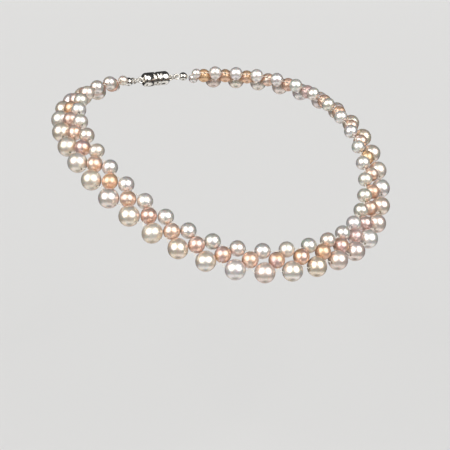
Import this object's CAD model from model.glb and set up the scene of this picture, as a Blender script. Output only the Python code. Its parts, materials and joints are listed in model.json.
"""A three-row collar of freshwater pearls woven in right angle weave, with its findings and a studio.

Left and right are as seen by someone who faces the wearer, so left is -X. Unit k of an arm is one
inner, one outer and one middle pearl, and it rolls round the bore of middle pearl k - 1.
"""

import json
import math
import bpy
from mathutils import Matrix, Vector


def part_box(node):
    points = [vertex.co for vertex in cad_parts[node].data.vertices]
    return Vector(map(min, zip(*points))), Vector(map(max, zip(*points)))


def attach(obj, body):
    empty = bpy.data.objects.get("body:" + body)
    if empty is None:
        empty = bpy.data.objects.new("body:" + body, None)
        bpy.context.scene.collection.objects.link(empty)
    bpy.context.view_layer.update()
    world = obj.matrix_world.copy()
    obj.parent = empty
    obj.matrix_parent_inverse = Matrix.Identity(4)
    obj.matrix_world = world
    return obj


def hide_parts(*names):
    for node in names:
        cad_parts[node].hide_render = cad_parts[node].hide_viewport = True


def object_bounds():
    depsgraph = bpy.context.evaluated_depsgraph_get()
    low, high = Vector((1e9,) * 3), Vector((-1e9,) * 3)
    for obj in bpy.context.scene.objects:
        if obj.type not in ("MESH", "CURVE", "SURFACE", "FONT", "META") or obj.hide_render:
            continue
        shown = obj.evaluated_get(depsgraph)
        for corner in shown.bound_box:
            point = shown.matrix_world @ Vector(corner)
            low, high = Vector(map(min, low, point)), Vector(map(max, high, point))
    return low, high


bl_info = {
    "name": "Woven Pearl Collar",
    "version": (1, 0, 0),
    "blender": (4, 5, 0),
    "location": "3D View > Sidebar > Pearl Collar",
    "description": "Builds every pearl, thread and finding of a three-row woven collar",
    "category": "Object",
}

import bpy
import numpy as np
from bpy.props import FloatProperty, FloatVectorProperty, IntProperty, PointerProperty
from mathutils import Vector

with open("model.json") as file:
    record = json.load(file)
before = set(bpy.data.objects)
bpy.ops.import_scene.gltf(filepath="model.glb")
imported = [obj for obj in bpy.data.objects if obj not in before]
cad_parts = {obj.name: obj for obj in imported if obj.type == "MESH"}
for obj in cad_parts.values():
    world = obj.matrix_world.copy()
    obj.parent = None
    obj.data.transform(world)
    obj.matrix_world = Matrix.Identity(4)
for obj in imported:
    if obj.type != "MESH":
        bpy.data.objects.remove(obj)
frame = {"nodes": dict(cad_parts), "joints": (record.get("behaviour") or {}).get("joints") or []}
CAD_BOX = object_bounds()

MM = 0.001
# Radius of a turned piece's first and last ring, which a fan of faces closes
HUB = 1e-5
SIDES = ("left", "right")
THREADS = {"a": 1, "b": -1}
JOINTS = {joint["name"]: joint for joint in frame["joints"]}
LAST = sum(name.startswith("left_hinge_") for name in JOINTS)

# ---------------- settings


def linear(hex_colour):
    """The linear red, green, blue and alpha of an sRGB hex colour."""
    parts = [int(hex_colour[i : i + 2], 16) / 255 for i in (1, 3, 5)]
    curve = [c / 12.92 if c <= 0.04045 else ((c + 0.055) / 1.055) ** 2.4 for c in parts]
    return (*curve, 1.0)


def colour_setting(name, hex_colour, description):
    """A colour that the user can change."""
    return FloatVectorProperty(
        name=name,
        description=description,
        subtype="COLOR",
        size=4,
        min=0,
        max=1,
        default=linear(hex_colour),
    )


def length_setting(name, millimetres, description):
    """A length that the user can change."""
    return FloatProperty(
        name=name,
        description=description,
        default=millimetres * MM,
        unit="LENGTH",
        precision=4,
    )


def angle_setting(name, degrees, description):
    """An angle that the user can change."""
    return FloatProperty(
        name=name, description=description, default=math.radians(degrees), subtype="ANGLE"
    )


def share_setting(name, share, description):
    """A share from 0 to 1 that the user can change."""
    return FloatProperty(
        name=name, description=description, default=share, min=0, max=1, subtype="FACTOR"
    )


class CollarPearls(bpy.types.PropertyGroup):
    """Shapes and colours of the pearls."""

    bore: length_setting("Bore", 0.9, "Diameter of the hole drilled through each pearl")
    closing_lean: angle_setting(
        "Closing Lean", 20, "How far the closing pearls' bores lean in towards the clasp"
    )
    swell: share_setting("Swell", 0.012, "Height of a pearl's soft swellings, of its radius")
    oval: share_setting("Oval", 0.09, "Most that a pearl is flattened or narrowed, of its radius")
    dent: share_setting("Dent", 0.02, "Depth of the deepest dents, of the radius")
    rings: share_setting("Rings", 0.003, "Height of the growth rings, of the radius")
    ivory: colour_setting("Ivory", "#F5EBDC", "Warm white nacre")
    cream: colour_setting("Cream", "#F3E4CE", "Yellowish white nacre")
    silver: colour_setting("Silver", "#F5F0E9", "Cool white nacre")
    blush: colour_setting("Blush", "#F4E3D8", "White nacre with a pink tone")
    lilac: colour_setting("Lilac", "#EFE7E7", "Greyish white nacre with a violet tone")
    mint: colour_setting("Mint", "#E6ECDF", "Greenish tone that drifts over white nacre")
    apricot: colour_setting("Apricot", "#F6CDA2", "Orange middle pearls")
    peach: colour_setting("Peach", "#F3CBB0", "Pinkish orange middle pearls")
    rose: colour_setting("Rose", "#EDC8B8", "Old rose middle pearls")
    mauve: colour_setting("Mauve", "#E6C6C0", "Violet pink middle pearls")
    seed: IntProperty(
        name="Seed", description="Draws another set of shapes and colours", default=7, min=0
    )


class CollarFindings(bpy.types.PropertyGroup):
    """Sizes and colours of the threads and the metal findings."""

    thread: length_setting("Thread", 0.3, "Diameter of each stringing thread")
    thread_offset: length_setting("Thread Offset", 0.18, "Distance of a thread from a bore's middle")
    turn_room: length_setting("Turn Room", 0.25, "How far a thread swings clear of a pearl's mouth")
    twist: length_setting("Twist", 1.3, "Length of one turn of a thread's two plies")
    slit: length_setting("Slit", 0.15, "Gap between the two cups of a bead tip")
    wall: length_setting("Wall", 0.35, "Thickness of a bead tip's wall")
    join: length_setting("Join", 0.06, "Gap where the ends of a jump ring's wire meet")
    groove: length_setting("Groove", 0.12, "Depth of the turned grip grooves on the clasp")
    rim: length_setting("Rim", 0.9, "Radius of the rounded rim round the clasp's face")
    clearance: length_setting("Clearance", 0.05, "Room between a magnet and its pocket")
    silk: colour_setting("Silk", "#94836C", "Beige silk thread")
    silver: colour_setting("Silver", "#EDEAE4", "Polished sterling silver")
    nickel: colour_setting("Nickel", "#C4C1BA", "Nickel plate on the magnets")


class CollarStage(bpy.types.PropertyGroup):
    """The camera, the lights and the backdrop."""

    azimuth: angle_setting("Azimuth", -32.9, "Turn of the camera round the neck from the front")
    elevation: angle_setting("Elevation", 18.1, "Height of the camera above level")
    distance: length_setting("Distance", 383.6, "From the camera to what it aims at")
    aim_right: length_setting("Aim Right", -5.3, "How far right of the loop's middle it aims")
    aim_up: length_setting("Aim Up", -26.5, "How far above the loop's middle it aims")
    lens: FloatProperty(
        name="Lens", description="Focal length on a 36 mm sensor", default=73.1, unit="CAMERA"
    )
    drop: length_setting("Drop", 95, "Height of the collar's lowest pearl above the floor")
    box_turn: angle_setting("Softbox Turn", 48, "How far each softbox stands beside the camera")
    box_height: angle_setting("Softbox Height", 33, "Height of the softboxes above level")
    box_width: angle_setting("Softbox Width", 60, "How wide each softbox looks from the collar")
    box_power: FloatProperty(
        name="Softbox Power", description="Light from each softbox, in W/m2", default=2.75
    )
    paper: colour_setting("Paper", "#7F7E7D", "What the translucent paper gives back of the light on it")
    glow: colour_setting("Glow", "#BEBEBD", "Light that comes through the paper from behind")
    room: colour_setting("Room", "#38383A", "Soft light that fills the room")
    table: colour_setting("Table", "#FFFFFF", "Pale table edge that the pearls mirror")


# ---------------- directions and meshes


def unit(v):
    """Vectors brought to length 1."""
    v = np.asarray(v, float)
    return v / np.linalg.norm(v, axis=-1, keepdims=True)


def square_to(v, axis):
    """What is left of v when its part along the unit vector axis is taken away, at length 1."""
    return unit(v - np.sum(v * axis, axis=-1, keepdims=True) * axis)


def side_frame(axis):
    """Two unit vectors square to a unit axis, in the order that makes a right-handed frame."""
    first = square_to(np.eye(3)[np.argmin(np.abs(axis))], axis)
    return first, np.cross(axis, first)


def spokes(first, second, count):
    """Unit vectors all the way round from first towards second: cos times one, sin times other."""
    turn = np.linspace(0, 2 * math.pi, count, endpoint=False)[:, None]
    return np.cos(turn) * first + np.sin(turn) * second


def skin(grid, closed=False):
    """(vertices, faces) over a grid of points whose columns run all the way round.

    Rows lead along an axis and columns turn right-handed about it, so the faces point outwards.
    A closed grid joins its last row to its first. An open one is shut by a fan at each end.
    """
    rows, columns, _ = grid.shape
    i, j = np.meshgrid(np.arange(rows - 1 + closed), np.arange(columns), indexing="ij")
    above, beside = (i + 1) % rows * columns, (j + 1) % columns
    corners = (i * columns + j, i * columns + beside, above + beside, above + j)
    faces = np.stack([c.ravel() for c in corners], axis=1).tolist()
    points = grid.reshape(-1, 3)
    if not closed:
        here = np.arange(columns)
        beside = (here + 1) % columns
        start, end = np.full(columns, len(points)), np.full(columns, len(points) + 1)
        top = (rows - 1) * columns
        faces += np.stack([beside, here, start], axis=1).tolist()
        faces += np.stack([top + here, top + beside, end], axis=1).tolist()
        points = np.vstack([points, grid[0].mean(axis=0), grid[-1].mean(axis=0)])
    return points, faces


def turned(profile, centre, axis, columns=48, closed=False):
    """A profile of (along, radius) rows turned round an axis: centre + along + radius spokes."""
    along, radius = np.asarray(profile, float).T
    ring = spokes(*side_frame(axis), columns)
    grid = centre + along[:, None, None] * axis + radius[:, None, None] * ring
    return skin(grid, closed)


def tube(path, radius, level, columns=12, closed=False):
    """A tube round a path: each ring is its point plus radius times a turn square to the path.

    The ring's first spoke leans to level. The radius is one number or one for each grid point.
    """
    if closed:
        way = unit(np.roll(path, -1, axis=0) - np.roll(path, 1, axis=0))
    else:
        way = unit(np.gradient(path, axis=0))
    first = square_to(np.broadcast_to(level, path.shape), way)[:, None]
    ring = spokes(first, np.cross(way[:, None], first), columns)
    size = np.broadcast_to(radius, ring.shape[:2])[..., None]
    return skin(path[:, None] + size * ring, closed)


def arc(centre_along, centre_radius, radius, start, end, count=6):
    """Profile rows round a quarter or less of a circle, from one angle in degrees to another."""
    turn = np.radians(np.linspace(start, end, count))
    return np.column_stack(
        [centre_along + radius * np.sin(turn), centre_radius + radius * np.cos(turn)]
    )


def resampled(path, step):
    """A path with its points about a step apart, found by distance along its straight pieces."""
    run = np.concatenate([[0], np.cumsum(np.linalg.norm(np.diff(path, axis=0), axis=1))])
    places = np.linspace(0, run[-1], max(2, round(run[-1] / step)) + 1)
    return np.column_stack([np.interp(places, run, path[:, i]) for i in range(3)]), places


def softened(path, rounds=3):
    """A path with its corners cut: each piece keeps its points at a quarter and three quarters."""
    for _ in range(rounds):
        cut = np.stack([0.75 * path[:-1] + 0.25 * path[1:], 0.25 * path[:-1] + 0.75 * path[1:]], 1)
        path = np.vstack([path[:1], cut.reshape(-1, 3), path[-1:]])
    return path


def smooth_mesh(name, points, faces, material):
    """A mesh that is shaded smooth and has one material."""
    mesh = bpy.data.meshes.new(name)
    mesh.from_pydata(points.tolist(), [], faces)
    mesh.polygons.foreach_set("use_smooth", np.ones(len(faces), bool))
    mesh.materials.append(material)
    return mesh


def add_object(name, data):
    """A new object with that data, in the scene."""
    thing = bpy.data.objects.new(name, data)
    bpy.context.scene.collection.objects.link(thing)
    return thing


def add_piece(name, shapes, material, body, node, attributes=()):
    """One piece made of (vertices, faces) shapes, riding on a body in place of a CAD node.

    Each attribute is (name, type, field, values), with one value for each vertex.
    """
    points, faces = [], []
    for shape_points, shape_faces in shapes:
        start = sum(len(p) for p in points)
        points.append(shape_points)
        faces += [[start + i for i in face] for face in shape_faces]
    mesh = smooth_mesh(name, np.vstack(points), faces, material)
    for label, kind, field, values in attributes:
        layer = mesh.attributes.new(label, kind, "POINT")
        layer.data.foreach_set(field, np.asarray(values, np.float32).ravel())
    mesh.update()
    piece = add_object(name, mesh)
    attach(piece, body)
    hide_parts(node)


# ---------------- places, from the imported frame


def node_points(node):
    """The corners of a CAD node's mesh."""
    mesh = frame["nodes"][node].data
    points = np.zeros(len(mesh.vertices) * 3, np.float32)
    mesh.vertices.foreach_get("co", points)
    return points.reshape(-1, 3).astype(float)


def box_middle(node):
    """The middle of a CAD node's box."""
    low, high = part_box(node)
    return np.array((low + high) / 2)


def ball_through(points):
    """Centre and radius of the ball whose surface lies nearest to the points.

    |p|^2 = 2 p.c + (r^2 - |c|^2) is linear in the centre c and in the bracket, so least squares
    finds both.
    """
    rows = np.column_stack([2 * points, np.ones(len(points))])
    *centre, rest = np.linalg.lstsq(rows, np.sum(points**2, axis=1), rcond=None)[0]
    centre = np.array(centre)
    return centre, math.sqrt(rest + centre @ centre)


def joint_place(joint):
    """A joint's place and its unit axis."""
    return np.array(joint["pos_m"]), unit(joint["axis"])


def middle_joint(side, k):
    """The joint at middle pearl k of an arm, where pearl 0 is the front unit's."""
    return JOINTS[f"{side}_hinge_{k + 1:02d}" if k < LAST else f"{side}_end_hinge"]


def two_balls(points, place, axis):
    """The balls on the two sides of a plane, first the one that the axis points to."""
    spread = (points - place) @ axis
    return ball_through(points[spread > 0]), ball_through(points[spread < 0])


class Arm:
    """The places of one arm's pearls, read from the joints and the CAD nodes."""

    def __init__(self, side):
        self.side = side
        self.hand = -1 if side == "left" else 1
        joints = [joint_place(middle_joint(side, k)) for k in range(LAST + 1)]
        self.middle = [place for place, _ in joints]
        self.bore = [bore if bore[2] > 0 else -bore for _, bore in joints]
        # Half the height of the front unit's middle pearls, which are alike
        low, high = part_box("front_middle_pearls")
        self.middle_radius = (high.z - low.z) / 2
        mirrored = self.middle[0] * (-1, 1, 1)
        starts = [mirrored, *self.middle[:-1]]
        self.along = [unit(end - start) for start, end in zip(starts, self.middle)]
        self.inner, self.outer = [], []
        for k in range(LAST + 1):
            inner, outer = self.read_row(k, (starts[k] + self.middle[k]) / 2)
            self.inner.append(inner)
            self.outer.append(outer)
        self.eye, self.swing = joint_place(JOINTS[f"{side}_ring_swing"])
        self.end_along = unit(self.eye - self.middle[LAST])
        points = node_points(f"{side}_closing_pearls")
        self.closing = two_balls(points, self.middle[LAST], self.bore[LAST])
        self.end_across = square_to(self.closing[0][0] - self.closing[1][0], self.end_along)

    def body(self, k):
        """The body that unit k's pearls ride on."""
        return f"{self.side}_unit_{k:02d}" if k else "front"

    def node(self, k):
        """The CAD node that holds unit k's pearls."""
        return f"{self.side}_weave_unit_{k:02d}"

    def read_row(self, k, halfway):
        """The inner and the outer pearl of unit k."""
        if k == 0:
            return [ball_through(node_points(f"front_{row}_pearl")) for row in ("inner", "outer")]
        points = node_points(self.node(k))
        away = np.linalg.norm(points - self.middle[k], axis=1) > self.middle_radius * 1.02
        return two_balls(points[away], halfway, self.bore[k])

    def shift(self, k, thread):
        """How far a thread lies from the middle of middle pearl k's bore, square to the band."""
        settings = bpy.context.scene.collar_findings
        level = unit(np.cross(self.bore[k], self.along[k]))
        return self.hand * THREADS[thread] * settings.thread_offset * level


ARMS = [Arm(side) for side in SIDES]

# ---------------- materials


def add_node(tree, kind, values=None, links=None, **settings):
    """A shader node with its settings, its sockets' values and the outputs linked into it.

    kind is its type without the ShaderNode that all of them begin with.
    """
    node = tree.nodes.new("ShaderNode" + kind)
    for key, value in settings.items():
        setattr(node, key, value)
    for socket, value in (values or {}).items():
        node.inputs[socket].default_value = value
    for socket, output in (links or {}).items():
        tree.links.new(output, node.inputs[socket])
    return node


def new_material(name):
    """An empty material, its node tree, and the place on the piece that its patterns read."""
    material = bpy.data.materials.new(name)
    material.use_nodes = True
    tree = material.node_tree
    tree.nodes.clear()
    return material, tree, add_node(tree, "TexCoord").outputs["Object"]


def nacre(name, rim_tint):
    """Freshwater nacre: thin sheets of aragonite, grown in rings and only tumbled to a lustre.

    The stacked sheets reflect like a soft pale metal and scatter light a little way in, which gives
    a satin glow and a warm, darker rim. The top sheet adds a clearer reflection.
    """
    material, tree, place = new_material(name)
    labels = ("body_colour", "overtone", "grown_place", "dullness")
    body, overtone, grown, dullness = (
        add_node(tree, "Attribute", attribute_name=label) for label in labels
    )
    # Overtones drift over a pearl in clouds about 3 mm wide
    clouds = add_node(tree, "TexNoise", {"Scale": 320.0, "Detail": 2.0}, {"Vector": place})
    cover = add_node(
        tree,
        "MapRange",
        {"From Min": 0.38, "From Max": 0.66, "To Max": 0.8},
        {"Value": clouds.outputs["Fac"]},
    )
    tone = add_node(
        tree,
        "Mix",
        links={0: cover.outputs["Result"], 6: body.outputs["Color"], 7: overtone.outputs["Color"]},
        data_type="RGBA",
    )
    # Growth rings lie round the pearl's own axis, about half a millimetre apart and much bent
    rings = add_node(
        tree,
        "TexWave",
        {"Scale": 1.6, "Distortion": 6.0, "Detail": 2.0, "Detail Scale": 0.5},
        {"Vector": grown.outputs["Vector"]},
        bands_direction="Z",
    )
    faint = add_node(
        tree,
        "MapRange",
        {"To Min": 0.975, "To Max": 1.0},
        {"Value": rings.outputs["Fac"]},
    )
    shade = add_node(
        tree,
        "VectorMath",
        links={0: tone.outputs[2], "Scale": faint.outputs["Result"]},
        operation="SCALE",
    )
    # Shallow wrinkles about half a millimetre wide, left by the tumbling
    wrinkles = add_node(
        tree,
        "TexNoise",
        {"Scale": 1500.0, "Detail": 3.0, "Roughness": 0.45},
        {"Vector": place},
    )
    relief = add_node(
        tree,
        "Math",
        {1: 0.3},
        {0: rings.outputs["Fac"], 2: wrinkles.outputs["Fac"]},
        operation="MULTIPLY_ADD",
    )
    bump = add_node(
        tree,
        "Bump",
        {"Strength": 0.2, "Distance": 0.03 * MM},
        {"Height": relief.outputs["Value"]},
    )
    lustre = add_node(
        tree,
        "Math",
        {1: 0.08},
        {0: wrinkles.outputs["Fac"], 2: dullness.outputs["Fac"]},
        operation="MULTIPLY_ADD",
    )
    shader = add_node(
        tree,
        "BsdfPrincipled",
        {
            "Metallic": 0.72,
            "Specular Tint": linear(rim_tint),
            "IOR": 1.6,
            "Subsurface Weight": 0.3,
            "Subsurface Radius": (1.0, 0.6, 0.4),
            "Subsurface Scale": 0.8 * MM,
            "Coat Weight": 0.45,
            "Coat Roughness": 0.2,
            "Coat IOR": 1.6,
        },
        {
            "Base Color": shade.outputs["Vector"],
            "Roughness": lustre.outputs["Value"],
            "Normal": bump.outputs["Normal"],
            "Coat Normal": bump.outputs["Normal"],
        },
    )
    add_node(tree, "OutputMaterial", links={"Surface": shader.outputs[0]})
    return material


def silk(name, colour):
    """Silk thread, twisted and lightly waxed: a soft sheen along its fibres.

    Its fibres are too fine to show, so they are drawn about 0.05 mm wide.
    """
    material, tree, place = new_material(name)
    fibres = add_node(tree, "TexNoise", {"Scale": 20000.0, "Detail": 2.0}, {"Vector": place})
    tone = add_node(tree, "ValToRGB", links={"Fac": fibres.outputs["Fac"]})
    tone.color_ramp.elements[0].color = (*(0.7 * c for c in colour[:3]), 1)
    tone.color_ramp.elements[1].color = colour
    bump = add_node(
        tree,
        "Bump",
        {"Strength": 0.4, "Distance": 0.01 * MM},
        {"Height": fibres.outputs["Fac"]},
    )
    shader = add_node(
        tree,
        "BsdfPrincipled",
        {"Roughness": 0.5, "Sheen Weight": 0.3, "Sheen Roughness": 0.4},
        {"Base Color": tone.outputs["Color"], "Normal": bump.outputs["Normal"]},
    )
    add_node(tree, "OutputMaterial", links={"Surface": shader.outputs[0]})
    return material


def polished_metal(name, colour, roughness):
    """Polished metal that has been handled: clear reflections, fine scratches, slight tarnish.

    Real scratches are a few micrometres wide, and are drawn about 0.1 mm wide so that they show.
    """
    material, tree, place = new_material(name)
    drawn = add_node(
        tree,
        "Mapping",
        {"Scale": (0.15, 1.0, 1.0), "Rotation": (0.2, 0.5, 0.3)},
        {"Vector": place},
    )
    scratches = add_node(
        tree,
        "TexNoise",
        {"Scale": 9000.0, "Detail": 3.0},
        {"Vector": drawn.outputs["Vector"]},
    )
    worn = add_node(
        tree,
        "MapRange",
        {"From Min": 0.35, "From Max": 0.7, "To Min": roughness, "To Max": roughness + 0.16},
        {"Value": scratches.outputs["Fac"]},
    )
    tarnish = add_node(tree, "TexNoise", {"Scale": 700.0, "Detail": 3.0}, {"Vector": place})
    tone = add_node(tree, "ValToRGB", links={"Fac": tarnish.outputs["Fac"]})
    tone.color_ramp.elements[0].position = 0.3
    tone.color_ramp.elements[0].color = (*(c * k for c, k in zip(colour, (0.82, 0.78, 0.72))), 1)
    tone.color_ramp.elements[1].position = 0.6
    tone.color_ramp.elements[1].color = colour
    bump = add_node(
        tree,
        "Bump",
        {"Strength": 0.15, "Distance": 0.01 * MM},
        {"Height": scratches.outputs["Fac"]},
    )
    shader = add_node(
        tree,
        "BsdfPrincipled",
        {"Metallic": 1.0},
        {
            "Base Color": tone.outputs["Color"],
            "Roughness": worn.outputs["Result"],
            "Normal": bump.outputs["Normal"],
        },
    )
    add_node(tree, "OutputMaterial", links={"Surface": shader.outputs[0]})
    return material


def paper(name, colour, glow):
    """Matt translucent paper with a barely uneven surface, lit evenly from behind as well."""
    material, tree, place = new_material(name)
    pulp = add_node(tree, "TexNoise", {"Scale": 400.0, "Detail": 3.0}, {"Vector": place})
    tone = add_node(tree, "ValToRGB", links={"Fac": pulp.outputs["Fac"]})
    tone.color_ramp.elements[0].color = (*(0.98 * c for c in colour[:3]), 1)
    tone.color_ramp.elements[1].color = colour
    shader = add_node(
        tree,
        "BsdfPrincipled",
        {"Roughness": 0.9, "Specular IOR Level": 0.2, "Emission Color": glow, "Emission Strength": 1.0},
        {"Base Color": tone.outputs["Color"]},
    )
    add_node(tree, "OutputMaterial", links={"Surface": shader.outputs[0]})
    return material


def shared(name, make, *details):
    """The material of that name, which is made when it is first asked for."""
    return bpy.data.materials.get(name) or make(name, *details)


# ---------------- pearls


def pearl_grid(radius, settings, chance):
    """A drilled pearl about the origin, as a grid of rows that closes on itself through the bore.

    The rows climb the ball from the bore's lower mouth to its upper one, and come down inside.
    The ball's radius is the nominal one times 1 + swell, where swell adds up a flattening or a
    narrowing about the growth axis (the height along it, squared), three slow sine waves in
    random directions, a round dent that fades with distance, and faint sine rings round the
    growth axis. It is then lowered so that its highest place is the nominal radius.
    """
    columns, rows, lip = 48, 42, 0.03
    bore = settings.bore / 2
    mouth = math.asin(bore / radius) + lip
    slope = np.concatenate(
        [[mouth, mouth + lip], np.linspace(mouth + 3 * lip, math.pi - mouth - 3 * lip, rows)]
    )
    slope = np.append(slope, [math.pi - mouth - lip, math.pi - mouth])[::-1, None, None]
    across = spokes(np.array([1.0, 0, 0]), np.array([0, 1.0, 0]), columns)
    ball = np.sin(slope) * across + np.cos(slope) * np.array([0, 0, 1.0])
    growth = unit(chance.normal(size=3))
    height = ball @ growth
    # A positive flattening makes a button, a negative one an oval
    flat = settings.oval * chance.uniform(-1, 1) * chance.uniform(0, 1)
    swell = -flat * height**2
    for _ in range(3):
        wave = ball @ unit(chance.normal(size=3)) * chance.uniform(2, 4.5) + chance.uniform(0, 6)
        swell = swell + settings.swell * chance.uniform(0.15, 0.5) * np.sin(wave)
    nearness = np.exp((ball @ unit(chance.normal(size=3)) - 1) / chance.uniform(0.02, 0.1))
    swell = swell - settings.dent * chance.uniform(0, 1) ** 2 * nearness
    ringed = np.exp(-(((height - chance.uniform(-0.7, 0.7)) / 0.35) ** 2))
    rings = settings.rings * chance.uniform(0, 1) * np.sin(height * chance.uniform(14, 22))
    swell = swell + rings * ringed
    swell = swell - swell.max()
    surface = ball * (radius * (1 + swell))[..., None]
    low, high = surface[0, :, 2], surface[-1, :, 2]
    share = np.array([0.97, 0.9, 0.7, 0.4, 0, -0.4, -0.7, -0.9, -0.97])[:, None]
    depth = (high + low) / 2 + share * (high - low) / 2
    inside = bore * across + depth[..., None] * np.array([0, 0, 1.0])
    return np.concatenate([surface, inside]), growth


def add_pearl(name, ball, bore, body, node, finish, order):
    """One pearl in its CAD place, with its own shape, body colour, overtone and lustre.

    finish is a material, its slot in the record, and the body colours and the overtones to choose
    from. order seeds the choice.
    """
    material, slot, bodies, overtones = finish
    settings = bpy.context.scene.collar_pearls
    centre, radius = ball
    chance = np.random.default_rng([settings.seed, *order])
    grid, growth = pearl_grid(radius, settings, chance)
    points, faces = skin(grid, closed=True)
    first, second = side_frame(growth)
    grown = points / radius @ np.column_stack([first, second, growth]) + chance.uniform(0, 9, 3)
    body_colour = np.array(bodies[chance.integers(len(bodies))]) * chance.uniform(0.93, 1.02)
    overtone = np.array(overtones[chance.integers(len(overtones))])
    dullness = chance.uniform(0.3, 0.4)
    count = len(points)
    first, second = side_frame(bore)
    add_piece(
        name,
        [(centre + points @ np.array([first, second, bore]), faces)],
        material,
        body,
        node,
        [
            ("grown_place", "FLOAT_VECTOR", "vector", grown),
            ("body_colour", "FLOAT_COLOR", "color", np.tile(np.minimum(body_colour, 1), (count, 1))),
            ("overtone", "FLOAT_COLOR", "color", np.tile(overtone, (count, 1))),
            ("dullness", "FLOAT", "value", np.full(count, dullness)),
        ],
    )


def add_row(row, number, finish):
    """The pearls of the inner or the outer row, whose bores follow the band."""
    for seat, arm in enumerate(ARMS):
        for k in range(seat, LAST + 1):
            name = f"{row}_pearl_{arm.side}_{k:02d}" if k else f"{row}_pearl_front"
            add_pearl(
                name,
                getattr(arm, row)[k],
                arm.along[k],
                arm.body(k),
                arm.node(k) if k else f"front_{row}_pearl",
                finish,
                (number, seat, k),
            )


class COLLAR_OT_inner_pearls(bpy.types.Operator):
    """Make the small white pearls of the inner row"""

    bl_idname = "collar.inner_pearls"
    bl_label = "Inner Pearls"

    def execute(self, context):
        tone = context.scene.collar_pearls
        bodies = (tone.ivory, tone.silver, tone.silver, tone.silver)
        overtones = (tone.blush, tone.lilac, tone.mint, tone.silver)
        material = shared("white_nacre", nacre, "#9E6A3C")
        add_row("inner", 0, (material, "white_pearl", bodies, overtones))
        return {"FINISHED"}


class COLLAR_OT_outer_pearls(bpy.types.Operator):
    """Make the large cream pearls of the outer row"""

    bl_idname = "collar.outer_pearls"
    bl_label = "Outer Pearls"

    def execute(self, context):
        tone = context.scene.collar_pearls
        bodies = (tone.ivory, tone.cream, tone.blush, tone.ivory, tone.silver)
        overtones = (tone.blush, tone.lilac, tone.cream, tone.silver)
        material = shared("cream_nacre", nacre, "#9A6636")
        add_row("outer", 1, (material, "cream_pearl", bodies, overtones))
        return {"FINISHED"}


class COLLAR_OT_middle_pearls(bpy.types.Operator):
    """Make the tinted pearls of the middle row"""

    bl_idname = "collar.middle_pearls"
    bl_label = "Middle Pearls"

    def execute(self, context):
        tone = context.scene.collar_pearls
        bodies = (tone.apricot, tone.peach, tone.peach, tone.rose, tone.mauve)
        overtones = (tone.blush, tone.rose, tone.apricot)
        finish = (shared("peach_nacre", nacre, "#A35520"), "peach_pearl", bodies, overtones)
        for seat, arm in enumerate(ARMS):
            for k in range(LAST + 1):
                add_pearl(
                    f"middle_pearl_{arm.side}_{k:02d}",
                    (arm.middle[k], arm.middle_radius),
                    arm.bore[k],
                    arm.body(k),
                    arm.node(k) if k else "front_middle_pearls",
                    finish,
                    (2, seat, k),
                )
        return {"FINISHED"}


def closing_bore(arm, row):
    """The bore of a closing pearl, which leans from the arm's line in towards the clasp."""
    lean = bpy.context.scene.collar_pearls.closing_lean
    return math.cos(lean) * arm.end_along - row * math.sin(lean) * arm.end_across


class COLLAR_OT_closing_pearls(bpy.types.Operator):
    """Make the pairs of pearls that taper the band to its clasp"""

    bl_idname = "collar.closing_pearls"
    bl_label = "Closing Pearls"

    def execute(self, context):
        tone = context.scene.collar_pearls
        bodies, overtones = (tone.ivory, tone.silver), (tone.blush, tone.lilac)
        finish = (shared("white_nacre", nacre, "#9E6A3C"), "white_pearl", bodies, overtones)
        for seat, arm in enumerate(ARMS):
            for word, row, ball in zip(("inner", "outer"), (1, -1), arm.closing):
                add_pearl(
                    f"closing_pearl_{arm.side}_{word}",
                    ball,
                    closing_bore(arm, row),
                    f"{arm.side}_arm_end",
                    f"{arm.side}_closing_pearls",
                    finish,
                    (3, seat, row + 1),
                )
        return {"FINISHED"}


# ---------------- threads


def out_of_middle(arm, k, row, thread, forward, end=1, depth=5):
    """A thread's points from deep in middle pearl k's bore out of its mouth on one row's side.

    They start a depth, counted in turn rooms, below that mouth, or below the other if end is -1.
    """
    settings = bpy.context.scene.collar_findings
    room, radius = settings.turn_room, arm.middle_radius
    centre = arm.middle[k] + arm.shift(k, thread)
    bore = row * arm.bore[k]
    return [
        centre + end * (radius - depth * room) * bore,
        centre + radius * bore,
        centre + (radius + room) * bore + room * forward,
    ]


def into_middle(arm, k, row, thread):
    """A thread's points from one row's side through middle pearl k, almost to its other mouth."""
    return out_of_middle(arm, k, row, thread, -arm.along[k], end=-1, depth=5.5)[::-1]


def through_row(arm, k, row):
    """A thread's points through the inner (row 1) or the outer (row -1) pearl of unit k."""
    centre, radius = (arm.inner if row > 0 else arm.outer)[k]
    reach = (radius + bpy.context.scene.collar_findings.turn_room) * arm.along[k]
    return [centre - reach, centre, centre + reach]


def add_thread(name, path, body, thread):
    """One stretch of two-ply thread: its radius swells twice round the ring and turns along it."""
    settings = bpy.context.scene.collar_findings
    path, run = resampled(softened(np.array(path)), settings.thread / 2.5)
    columns = 10
    turn = np.linspace(0, 2 * math.pi, columns, endpoint=False)
    lobes = np.abs(np.cos(turn[None] - 2 * math.pi * run[:, None] / settings.twist))
    radius = settings.thread / 2 * (0.72 + 0.28 * lobes)
    level = unit(path[len(path) // 2] * (1, 1, 0) + np.array([0, 0, 0.03]))
    add_piece(
        name,
        [tube(path, radius, level, columns)],
        shared("silk_thread", silk, tuple(settings.silk)),
        body,
        f"thread_{thread}",
    )


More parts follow.
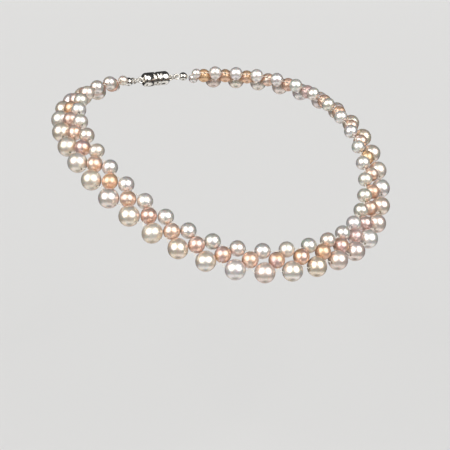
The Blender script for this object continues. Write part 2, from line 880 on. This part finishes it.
class COLLAR_OT_threads(bpy.types.Operator):
    """Make both stringing threads, one stretch for each weave unit and arm end"""

    bl_idname = "collar.threads"
    bl_label = "Threads"

    def execute(self, context):
        for thread, first_row in THREADS.items():
            left, right = ARMS
            add_thread(
                f"thread_{thread}_front",
                into_middle(left, 0, first_row, thread)[::-1]
                + through_row(right, 0, first_row)
                + into_middle(right, 0, first_row, thread),
                "front",
                thread,
            )
            for arm in ARMS:
                for k in range(1, LAST + 1):
                    row = first_row * (-1) ** k
                    add_thread(
                        f"thread_{thread}_{arm.side}_{k:02d}",
                        out_of_middle(arm, k - 1, row, thread, arm.along[k])
                        + through_row(arm, k, row)
                        + into_middle(arm, k, row, thread),
                        arm.body(k),
                        thread,
                    )
                self.add_tail(context, arm, thread, first_row * (-1) ** (LAST + 1))
        return {"FINISHED"}

    def add_tail(self, context, arm, thread, row):
        """The stretch from the last middle pearl through a closing pearl into the bead tip."""
        settings = context.scene.collar_findings
        centre, radius = arm.closing[0 if row > 0 else 1]
        bore = closing_bore(arm, row)
        crimp = box_middle(f"{arm.side}_crimp_bead")
        beside = row * settings.thread_offset * arm.end_across
        mouth = crimp - (tip_radius(arm) + settings.turn_room) * arm.end_along + beside
        add_thread(
            f"thread_{thread}_{arm.side}_end",
            out_of_middle(arm, LAST, row, thread, arm.end_along)
            + [
                centre - (radius + settings.turn_room) * bore,
                centre + (radius + settings.turn_room) * bore,
                mouth,
                crimp + crimp_length(arm) / 2 * arm.end_along + beside,
            ],
            f"{arm.side}_arm_end",
            thread,
        )


# ---------------- findings


def tip_radius(arm):
    """Outer radius of the bead tip's cup, on the side away from its eye."""
    offset = node_points(f"{arm.side}_bead_tip") - box_middle(f"{arm.side}_crimp_bead")
    return np.linalg.norm(offset[offset @ arm.end_along < 0], axis=1).max()


def crimp_length(arm):
    """Length of the crimp bead along the arm's end."""
    reach = node_points(f"{arm.side}_crimp_bead") @ arm.end_along
    return reach.max() - reach.min()


def along_and_away(offset, axis):
    """How far points lie along a unit axis through the origin, and how far away from it."""
    along = offset @ axis
    return along, np.linalg.norm(offset - np.outer(along, axis), axis=1)


def ring_sizes(points, centre, normal):
    """(ring radius, wire radius) of a wire ring: wire from its thickness, ring from its reach."""
    offset = points - centre
    wire = np.abs(offset @ normal).max()
    return np.linalg.norm(offset, axis=1).max() - wire, wire


def eye_shapes(points, eye, outwards, normal):
    """A finding's eye, as a closed wire ring with a collar of solder where it meets the wall."""
    beyond = points[(points - eye) @ outwards > 0]
    radius, wire = ring_sizes(beyond, eye, normal)
    ring = eye + radius * spokes(outwards, np.cross(normal, outwards), 64)
    foot = eye - (radius + 1.2 * wire) * outwards
    solder = [(0, 1.75), (0.25, 1.6), (0.7, 1.12), (1, 0.6)]
    collar = wire * np.array(solder)
    return [tube(ring, wire, normal, 20, closed=True), turned(collar, foot, outwards, 24)]


def add_silver(node, ending, shapes, body):
    """One piece of polished sterling silver, in place of a CAD node."""
    colour = tuple(bpy.context.scene.collar_findings.silver)
    material = shared("polished_silver", polished_metal, colour, 0.14)
    add_piece(f"{node}_{ending}", shapes, material, body, node)


class COLLAR_OT_bead_tips(bpy.types.Operator):
    """Make the folded bead tips that hide the crimps"""

    bl_idname = "collar.bead_tips"
    bl_label = "Bead Tips"

    def execute(self, context):
        settings = context.scene.collar_findings
        for arm in ARMS:
            node = f"{arm.side}_bead_tip"
            centre = box_middle(f"{arm.side}_crimp_bead")
            up = np.cross(arm.end_across, arm.end_along)
            cups = [self.cup(settings, arm, centre, facing) for facing in (up, -up)]
            eye = eye_shapes(node_points(node), arm.eye, arm.end_along, arm.end_across)
            add_silver(node, "cups", cups + eye, f"{arm.side}_arm_end")
        return {"FINISHED"}

    def cup(self, settings, arm, centre, facing):
        """Half of a hollow ball: out from its crown, round its edge and back up inside.

        The edge stands half a slit from the middle plane, and rises round the thread's hole as a
        half circle does. A row of angles from the crown to the edge, times spokes, gives the wall.
        """
        radius = tip_radius(arm)
        hole = 1.6 * settings.thread
        ring = spokes(-arm.end_along, np.cross(facing, -arm.end_along), 72)
        beside = np.abs(ring @ np.cross(facing, arm.end_along)) * radius
        at_hole = (ring @ -arm.end_along > 0) & (beside < hole)
        rise = np.where(at_hole, np.sqrt(np.maximum(hole**2 - beside**2, 0)), settings.slit / 2)
        rise = np.maximum(rise, settings.slit / 2)
        shares = np.linspace(0.02, 1, 20)[:, None]
        walls = []
        for wall, share in ((radius, shares), (radius - settings.wall, shares[::-1])):
            slope = (share * np.arccos(np.clip(rise / wall, 0, 1)))[..., None]
            walls.append(centre + wall * (np.sin(slope) * ring + np.cos(slope) * facing))
        edge = (walls[0][-1:] + walls[1][:1]) / 2 - 0.3 * settings.slit * facing
        grid = np.concatenate([walls[0], edge, walls[1]])[::-1]
        return skin(grid)


class COLLAR_OT_crimp_beads(bpy.types.Operator):
    """Make the crimp beads inside the bead tips, each squeezed to a waist"""

    bl_idname = "collar.crimp_beads"
    bl_label = "Crimp Beads"

    def execute(self, context):
        for arm in ARMS:
            node = f"{arm.side}_crimp_bead"
            centre = box_middle(node)
            _, away = along_and_away(node_points(node) - centre, arm.end_along)
            outer, hole = away.max(), away.min()
            half = crimp_length(arm) / 2
            lip = (outer - hole) / 4
            squeeze = np.linspace(-1, 1, 9)
            profile = np.vstack(
                [
                    arc(-half + lip, outer - lip, lip, -90, 0),
                    np.column_stack(
                        [0.6 * half * squeeze, outer - lip * np.cos(squeeze * math.pi / 2)]
                    ),
                    arc(half - lip, outer - lip, lip, 0, 90),
                    [(half, hole + lip), (half - lip, hole)],
                    [(-half + lip, hole), (-half, hole + lip)],
                ]
            )
            crimp = turned(profile, centre, arm.end_along, 32, closed=True)
            add_silver(node, "squeezed", [crimp], f"{arm.side}_arm_end")
        return {"FINISHED"}


class COLLAR_OT_jump_rings(bpy.types.Operator):
    """Make the jump rings, whose wire is cut and closed end to end"""

    bl_idname = "collar.jump_rings"
    bl_label = "Jump Rings"

    def execute(self, context):
        settings = context.scene.collar_findings
        for arm in ARMS:
            node = f"{arm.side}_jump_ring"
            centre = box_middle(node)
            radius, wire = ring_sizes(node_points(node), centre, arm.swing)
            first = np.cross(arm.swing, [1.0, 0, 0])
            second = np.cross(arm.swing, first)
            gap = settings.join / radius / 2
            turn = np.linspace(gap, 2 * math.pi - gap, 90)[:, None]
            path = centre + radius * (np.cos(turn) * first + np.sin(turn) * second)
            ends = np.minimum(1, 0.8 + 0.2 * np.minimum(turn - gap, 2 * math.pi - gap - turn) / 0.05)
            add_silver(node, "wire", [tube(path, wire * ends, arm.swing, 24)], f"{arm.side}_ring")
        return {"FINISHED"}


def clasp_line(arm):
    """The clasp's line from its mating face out to the arm."""
    return np.array([float(arm.hand), 0, 0])


class COLLAR_OT_clasp_shells(bpy.types.Operator):
    """Make the turned barrels of the clasp, with their eyes"""

    bl_idname = "collar.clasp_shells"
    bl_label = "Clasp Shells"

    def execute(self, context):
        settings = context.scene.collar_findings
        for arm in ARMS:
            node = f"{arm.side}_clasp_shell"
            points, line = node_points(node), clasp_line(arm)
            eye, normal = joint_place(JOINTS[f"{arm.side}_clasp_tilt"])
            along, away = along_and_away(points - eye, line)
            outer, face = away.max(), along.min()
            eye_radius, wire = ring_sizes(points[along > 0], eye, normal)
            back = -eye_radius + wire * 0.3
            profile = self.profile(settings, f"{arm.side}_clasp_magnet", outer, face, back)
            barrel = [turned(profile, eye, line, 64), *eye_shapes(points, eye, line, normal)]
            add_silver(node, "barrel", barrel, f"{arm.side}_clasp_half")
        return {"FINISHED"}

    def profile(self, settings, magnet, outer, face, back):
        """Rows from the pocket's floor out to the face, over the rim and grooves to the back."""
        low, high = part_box(magnet)
        pocket = (high.z - low.z) / 2 + settings.clearance
        floor = face + (high.x - low.x) + 2 * settings.clearance
        rim, dome, groove = settings.rim, outer / 2, settings.groove
        chamfer = settings.clearance * 2
        rows = [(floor, HUB), (floor, pocket), (face + chamfer, pocket), (face, pocket + chamfer)]
        rows += arc(face + rim, outer - rim, rim, -90, 0, 9).tolist()
        start = face + rim + groove
        for i in range(3):
            middle = start + (i * 3 + 1.5) * groove
            rows += [(middle - groove, outer), (middle - groove / 2, outer - groove * 0.75)]
            rows += [(middle, outer - groove), (middle + groove / 2, outer - groove * 0.75)]
            rows += [(middle + groove, outer)]
        rows += arc(back - dome, outer - dome, dome, 0, 90, 12).tolist()
        rows += [(back, HUB)]
        return rows


class COLLAR_OT_clasp_magnets(bpy.types.Operator):
    """Make the disc magnets in the clasp's pockets"""

    bl_idname = "collar.clasp_magnets"
    bl_label = "Clasp Magnets"

    def execute(self, context):
        settings = context.scene.collar_findings
        metal = shared("nickel_plate", polished_metal, tuple(settings.nickel), 0.2)
        for arm in ARMS:
            node = f"{arm.side}_clasp_magnet"
            low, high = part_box(node)
            radius, half = (high.z - low.z) / 2, (high.x - low.x) / 2
            edge = settings.clearance * 3
            profile = [(-half, HUB), (-half, radius - edge * 1.4)]
            profile += arc(-half + edge, radius - edge, edge, -90, 0).tolist()
            profile += arc(half - edge, radius - edge, edge, 0, 90).tolist()
            profile += [(half, HUB)]
            add_piece(
                node + "_disc",
                [turned(profile, box_middle(node), clasp_line(arm), 48)],
                metal,
                f"{arm.side}_clasp_half",
                node,
            )
        return {"FINISHED"}


# ---------------- stage


class COLLAR_OT_stage(bpy.types.Operator):
    """Make the camera, two softboxes, the room's light and a pale paper sweep"""

    bl_idname = "collar.stage"
    bl_label = "Stage"

    def execute(self, context):
        stage = context.scene.collar_stage
        self.add_camera(context, stage)
        for name, side in (("left_softbox", -1), ("right_softbox", 1)):
            self.add_softbox(stage, name, side)
        self.add_sweep(stage)
        context.scene.world = self.room(stage)
        context.scene.view_settings.view_transform = "Standard"
        return {"FINISHED"}

    def direction(self, azimuth, elevation):
        """Unit vector towards a place seen from the collar, at azimuth 0 straight in front."""
        level = math.cos(elevation)
        return Vector((math.sin(azimuth) * level, -math.cos(azimuth) * level, math.sin(elevation)))

    def room(self, stage):
        """A dim room whose colour goes by height only, with a pale table edge low all round."""
        world = bpy.data.worlds.new("room")
        world.use_nodes = True
        tree = world.node_tree
        towards = add_node(tree, "TexCoord").outputs["Generated"]
        height = add_node(tree, "SeparateXYZ", links={"Vector": towards})
        share = add_node(tree, "MapRange", {"From Min": -1.0}, {"Value": height.outputs["Z"]})
        tone = add_node(tree, "ValToRGB", links={"Fac": share.outputs["Result"]})
        ramp = tone.color_ramp.elements
        ramp[0].color = ramp[1].color = stage.room
        # The share is 0 straight down, 0.5 level and 1 straight up
        stops = ((0.02, stage.room), (0.04, stage.table), (0.17, stage.table), (0.21, stage.room))
        for place, colour in stops:
            ramp.new(place).color = colour
        tree.links.new(tone.outputs["Color"], tree.nodes["Background"].inputs["Color"])
        return world

    def add_camera(self, context, stage):
        """The camera, which looks back along its own direction, past the loop's middle."""
        back = self.direction(stage.azimuth, stage.elevation)
        right = Vector((math.cos(stage.azimuth), math.sin(stage.azimuth), 0))
        up = back.cross(right)
        data = bpy.data.cameras.new("camera")
        data.lens = stage.lens
        data.sensor_width = 36
        data.clip_start = 0.01
        camera = add_object("camera", data)
        camera.location = stage.aim_right * right + stage.aim_up * up + stage.distance * back
        camera.rotation_euler = (-back).to_track_quat("-Z", "Y").to_euler()
        context.scene.camera = camera

    def add_softbox(self, stage, name, side):
        """A large round softbox beside the camera, so far off that it lights all the paper alike."""
        towards = self.direction(stage.azimuth + side * stage.box_turn, stage.box_height)
        data = bpy.data.lights.new(name, "SUN")
        data.angle = stage.box_width
        data.energy = stage.box_power
        light = add_object(name, data)
        light.rotation_euler = (-towards).to_track_quat("-Z", "Y").to_euler()

    def add_sweep(self, stage):
        """A round paper floor that curves up all the way round, as a turned profile."""
        low = CAD_BOX[0].z - stage.drop
        reach, curve, height = 6.0, 1.2, 2.0
        profile = [(0, 1e-3), (0, 0.2), (0, 1), (0, 3), (0, reach - curve)]
        turn = np.linspace(0, math.pi / 2, 20)[1:]
        profile += np.column_stack(
            [curve - curve * np.cos(turn), reach - curve + curve * np.sin(turn)]
        ).tolist()
        profile += [(height, reach)]
        points, faces = turned(profile, np.array([0, 0, low]), np.array([0, 0, 1.0]), 96)
        # The last fan would roof the sweep over
        faces = [face for face in faces if len(points) - 1 not in face]
        material = shared("seamless_paper", paper, tuple(stage.paper), tuple(stage.glow))
        mesh = smooth_mesh("paper_sweep", points[:-1], faces, material)
        mesh.flip_normals()
        sweep = add_object("paper_sweep", mesh)
        # The pearls mirror the dim room and not the paper, so their rims stay dark
        sweep.visible_glossy = False


# ---------------- panel and registration

OPERATORS = (
    COLLAR_OT_inner_pearls,
    COLLAR_OT_outer_pearls,
    COLLAR_OT_middle_pearls,
    COLLAR_OT_closing_pearls,
    COLLAR_OT_threads,
    COLLAR_OT_bead_tips,
    COLLAR_OT_crimp_beads,
    COLLAR_OT_jump_rings,
    COLLAR_OT_clasp_shells,
    COLLAR_OT_clasp_magnets,
    COLLAR_OT_stage,
)
GROUPS = {"collar_pearls": CollarPearls, "collar_findings": CollarFindings, "collar_stage": CollarStage}


class COLLAR_PT_panel(bpy.types.Panel):
    """Lists the collar's settings and the steps that build it"""

    bl_label = "Pearl Collar"
    bl_space_type = "VIEW_3D"
    bl_region_type = "UI"
    bl_category = "Pearl Collar"

    def draw(self, context):
        for label, group in GROUPS.items():
            column = self.layout.column(align=True)
            for name in group.__annotations__:
                column.prop(getattr(context.scene, label), name)
        column = self.layout.column(align=True)
        for operator in OPERATORS:
            column.operator(operator.bl_idname)


CLASSES = (*GROUPS.values(), *OPERATORS, COLLAR_PT_panel)


def register():
    for one in CLASSES:
        bpy.utils.register_class(one)
    for label, group in GROUPS.items():
        setattr(bpy.types.Scene, label, PointerProperty(type=group))


def unregister():
    for label in GROUPS:
        delattr(bpy.types.Scene, label)
    for one in reversed(CLASSES):
        bpy.utils.unregister_class(one)


def main():
    register()
    for operator in OPERATORS:
        group, name = operator.bl_idname.split(".")
        getattr(getattr(bpy.ops, group), name)()


if __name__ == "__main__":
    main()
